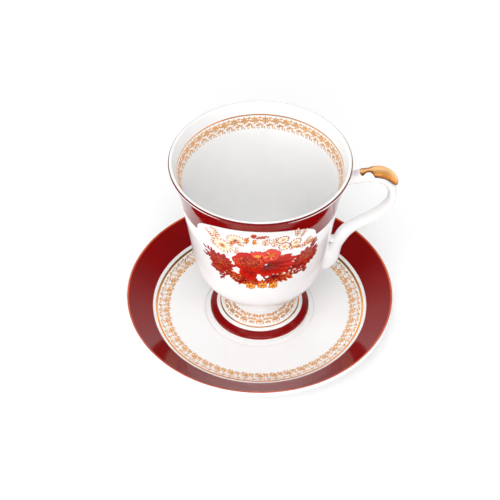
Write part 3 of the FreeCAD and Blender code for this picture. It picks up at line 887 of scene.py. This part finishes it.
def drawBouquet():
    b = bouquet
    art = newArt()
    draw = random.Random(b["seed"])
    # leaves and stems under the blooms
    for degrees, height, *shape in b["leaves"]:
        leafBranch(art, *spotAt(degrees, height), *shape, draw)
    for degrees, height, heading, length in b["sprigs"]:
        sprig(art, *spotAt(degrees, height), heading, length, 3.0, "stem", "stem", draw)
    # side blooms
    for key, reach in (("left", 9.4), ("right", 9.7)):
        mumBloom(art, *spotAt(*b[key]), reach, draw)
    fullBloom(art, *spotAt(-35, 67.5), [(9, 4.8, 2.9, "deep", 0, True), (7, 3.4, 2.0, "leaf", 15, True)],
              1, 0.8, draw)
    # the large red bloom, its long petals fanned to the right
    x, y = spotAt(*b["fan"])
    for heading, length in ((-52, 10.5), (-30, 14.5), (-10, 17.0), (9, 17.5), (26, 15.5), (42, 11.5),
                            (232, 9.5), (258, 10.5), (284, 10), (306, 9.5)):
        outlined(art, x, y, heading, length, 6.6, "red", "deep", 3, 0.2, full=1.0, blunt=0.62,
                 bend=draw.uniform(-16, 16), veins=3, dome=0.18)
        petal(art, x, y, heading + 6, length * 0.62, 1.7, "deep", 5, 0.9, 0.9, veins=1)
        for side, share in ((-12, 0.80), (-3, 0.62), (13, 0.84)):
            petal(art, x, y, heading + side, length * share, 0.55, "orange", 5, 0.9, 0.9, fine=(7, 3))
    for heading, length in ((236, 10.5), (254, 12.0), (272, 11.0), (220, 9.0)):
        outlined(art, *spotAt(-6.5, 75), heading, length, 5.2, "red", "deep", 4, 0.2, full=1.0, blunt=0.7,
                 bend=draw.uniform(-20, 20), veins=2)
    x, y = spotAt(*b["heart"])
    fullBloom(art, x, y, [
        (9, 11.2, 7.8, "red", 10, False), (8, 9.0, 6.4, "red", 30, False),
        (7, 6.8, 5.0, "deep", 0, False), (6, 4.8, 3.6, "red", 25, False), (5, 2.8, 2.2, "leaf", 10, False),
    ], 4, 0.84, draw)
    for _ in range(80):
        away, turn = 8.2 * math.sqrt(draw.random()), draw.uniform(0, 2 * math.pi)
        dot(art, x + away * math.cos(turn), y + 0.6 + 0.62 * away * math.sin(turn),
            draw.uniform(0.16, 0.28), "orange", 10)
    # bright flowers over the large one
    x, y = spotAt(*b["bud"])
    for heading in (56, 78, 100, 124):
        outlined(art, x, y - 1.8, heading, 6.4, 2.8, "pink", "deep", 8, 0.2, full=1.1, blunt=0.7, veins=1)
        petal(art, x, y - 1.8, heading + 4, 4.4, 1.2, "orange", 10)
    x, y = spotAt(*b["crown"])
    for k in range(5):
        outlined(art, x, y, 18 + 72 * k, 5.6, 5.2, "pink", "deep", 9, 0.22, full=1.3, blunt=0.5,
                 veins=1, dome=0.16)
    leafSpray(art, x, y, 160, 9, 4.3, 2.0, 40, "orange", layer=11, full=1.2, blunt=0.6, fine=(6, 5))
    dotRing(art, x, y, 3.0, 9, 0.34, "cream", 12)
    # small orange flowers along the foot of the bouquet
    for degrees, height in b["orangeBlooms"]:
        x, y = spotAt(degrees, height)
        for k in range(6):
            outlined(art, x, y, 30 + 60 * k + draw.uniform(-12, 12), 3.0 * draw.uniform(0.85, 1.15), 1.9,
                     "orange", "leaf", 3, 0.3, full=1.15, blunt=0.65)
        dot(art, x, y, 0.6, "brown", 6)
        leafSpray(art, x, y + 2.2, 90, 3, 3.4, 1.5, 52, "leaf", layer=1)
    # pale flowers above, drawn in a fine brown line
    x, y = spotAt(*b["daisy"])
    for k in range(14):
        outlined(art, x, y, 360 * k / 14 + 8, 6.4 + draw.uniform(-0.7, 0.5), 2.0, "cream", "brown", 0, 0.26,
                 full=1.2, blunt=0.6)
    leafSpray(art, x, y, 165, 12, 3.0, 0.5, 30, "brown", layer=2, fine=(6, 3))
    dotRing(art, x, y, 1.3, 8, 0.42, "orange", 4)
    x, y = spotAt(*b["halfDaisy"])
    for k in range(10):
        outlined(art, x, y, 10 + 20 * k, 5.6, 1.8, "cream", "brown", 0, 0.26, full=1.15, blunt=0.6)
    leafSpray(art, x, y, 110, 10, 3.0, 0.5, 20, "brown", layer=2, fine=(6, 3))
    leafSpray(art, x, y, -90, 3, 2.6, 1.3, 48, "leaf", layer=1)
    for degrees, height in b["rounds"]:
        x, y = spotAt(degrees, height)
        dotRing(art, x, y, 3.0, 12, 0.62, "brown", 0)
        leafSpray(art, x, y, 157.5, 8, 2.9, 2.2, 45, "cream", layer=1, full=1.3, blunt=0.5)
        leafSpray(art, x, y, 180, 8, 1.7, 0.4, 45, "brown", layer=2, fine=(5, 3))
        dot(art, x, y, 0.75, "orange", 3)
    for degrees, height, heading, length, leaf in b["lightSprigs"]:
        size = 2.5 if length > 5.6 else 1.9
        sprig(art, *spotAt(degrees, height), heading, length, size, leaf, "brown", draw)
    for _ in range(60):
        x, y = spotAt(draw.uniform(-14, 13), draw.uniform(88, 101))
        dot(art, x, y, draw.uniform(0.20, 0.38), draw.choice(["brown", "orange", "stem"]))
    return art


def makeBouquets(outer):
    art = drawBouquet()
    for name, turn in (("mugBouquetFront", 0), ("mugBouquetBack", math.pi)):
        layArt(name, art, outer, [turn], paint["bouquetRadius"],
               lambda height: np.interp(height, outer.points[:, 1], outer.lengths))


# Floor and light
studio = {
    # the floor's painted light: its glow near the saucer, and the distances over which it rises to full
    # white
    "floor": 3.0, "floorGlowNear": 0.17, "fadeStart": 0.22, "fadeEnd": 0.70,
    "world": 0.30,
    # what gold and glaze see: from and to a height or depth, and the brightness at each
    "ceiling": (0.30, 0.62, 1.0, 0.16), "behindLens": (-0.75, -0.25, 0.30, 1.0),
    # place in metres, height aimed at, width, height, power, whether it leaves a glint
    "lamps": {
        "backBox": ((0, 1.0, 0.95), 0.05, 1.6, 0.8, 3.6, True),
        "leftBox": ((-0.90, -0.42, 0.40), 0.08, 0.8, 0.7, 3.9, True),
        "rightBox": ((0.90, -0.42, 0.40), 0.08, 0.8, 0.7, 1.2, True),
        "frontBox": ((0, -0.95, 1.05), 0.05, 1.0, 1.0, 8.3, True),
        "lowBox": ((0, -1.3, 0.35), 0.05, 1.0, 0.6, 3.0, False),
        "topBox": ((0, -0.35, 1.25), 0.05, 0.8, 0.8, 4.2, False),
    },
}


def combined(nodes, links, operation, one, other):
    both = nodes.new("ShaderNodeMath")
    both.operation = operation
    links.new(one, both.inputs[0])
    links.new(other, both.inputs[1])
    return both.outputs["Value"]


def eased(nodes, links, source, limits):
    # runs from the third to the fourth limit while the source runs from the first to the second
    span = nodes.new("ShaderNodeMapRange")
    for socket, value in zip(("From Min", "From Max", "To Min", "To Max"), limits):
        span.inputs[socket].default_value = value
    links.new(source, span.inputs["Value"])
    return span.outputs["Result"]


def seenDirectly(nodes, links):
    # 1 for rays from the lens and for those that gloss or glass send on
    path = nodes.new("ShaderNodeLightPath")
    seen = path.outputs["Is Camera Ray"]
    for kind in ("Is Glossy Ray", "Is Transmission Ray"):
        seen = combined(nodes, links, "MAXIMUM", seen, path.outputs[kind])
    return seen


def makeFloor():
    s = studio
    size = s["floor"]
    data = bpy.data.meshes.new("floor")
    corners = [(-size, -size, 0), (size, -size, 0), (size, size, 0), (-size, size, 0)]
    data.from_pydata(corners, [], [(0, 1, 2, 3)])
    floor = addObject("floor", data)
    finish, nodes, links, shader = newFinish("paperFloor", Roughness=0.9, Specular_IOR_Level=0.0)
    shader.inputs["Base Color"].default_value = (0.9, 0.9, 0.9, 1)
    shader.inputs["Emission Color"].default_value = (1, 1, 1, 1)
    # painted light: the floor glows for the lens and for gloss, only faintly near the saucer so that its
    # shadow shows, and rising to plain white away from the saucer
    place = nodes.new("ShaderNodeTexCoord")
    away = nodes.new("ShaderNodeVectorMath")
    away.operation = "LENGTH"
    links.new(place.outputs["Object"], away.inputs[0])
    fade = eased(nodes, links, away.outputs["Value"], (s["fadeStart"], s["fadeEnd"], s["floorGlowNear"], 1.0))
    lift = combined(nodes, links, "MULTIPLY", seenDirectly(nodes, links), fade)
    links.new(lift, shader.inputs["Emission Strength"])
    data.materials.append(finish)


def softbox(name, place, aim, width, height, power, glint):
    data = bpy.data.lights.new(name, "AREA")
    data.shape = "RECTANGLE"
    data.size, data.size_y, data.energy = width, height, power
    lamp = addObject(name, data)
    lamp.location = place
    lamp.rotation_euler = (Vector((0, 0, aim)) - Vector(place)).to_track_quat("-Z", "Y").to_euler()
    lamp.visible_camera = False
    lamp.visible_glossy = glint


def makeLight():
    world = bpy.data.worlds.new("studio")
    bpy.context.scene.world = world
    world.use_nodes = True
    nodes, links = world.node_tree.nodes, world.node_tree.links
    background = nodes["Background"]
    background.inputs["Color"].default_value = (1, 1, 1, 1)
    # the lens sees white; gold and glaze see a bright horizon, a dark ceiling and the dark behind the lens
    way = nodes.new("ShaderNodeTexCoord")
    part = nodes.new("ShaderNodeSeparateXYZ")
    links.new(way.outputs["Generated"], part.inputs[0])
    ceiling = eased(nodes, links, part.outputs["Z"], studio["ceiling"])
    behind = eased(nodes, links, part.outputs["Y"], studio["behindLens"])
    rays = nodes.new("ShaderNodeLightPath")
    mirrored = nodes.new("ShaderNodeMix")
    mirrored.inputs["A"].default_value = studio["world"]
    links.new(seenDirectly(nodes, links), mirrored.inputs["Factor"])
    links.new(combined(nodes, links, "MULTIPLY", ceiling, behind), mirrored.inputs["B"])
    chosen = nodes.new("ShaderNodeMix")
    chosen.inputs["B"].default_value = 1.0
    links.new(rays.outputs["Is Camera Ray"], chosen.inputs["Factor"])
    links.new(mirrored.outputs["Result"], chosen.inputs["A"])
    links.new(chosen.outputs["Result"], background.inputs["Strength"])
    for name, settings in studio["lamps"].items():
        softbox(name, *settings)
    bpy.context.scene.view_settings.view_transform = "Standard"


makeCamera()
makeFloor()
makeLight()
print("camera, floor and lamps set")
makeBodies()
makeHandle()
makeThumbRest()
skins = makeBands()
print("bodies and bands made")
makeLace(skins)
makeBouquets(skins["outer"])
print("gilding and flowers painted")
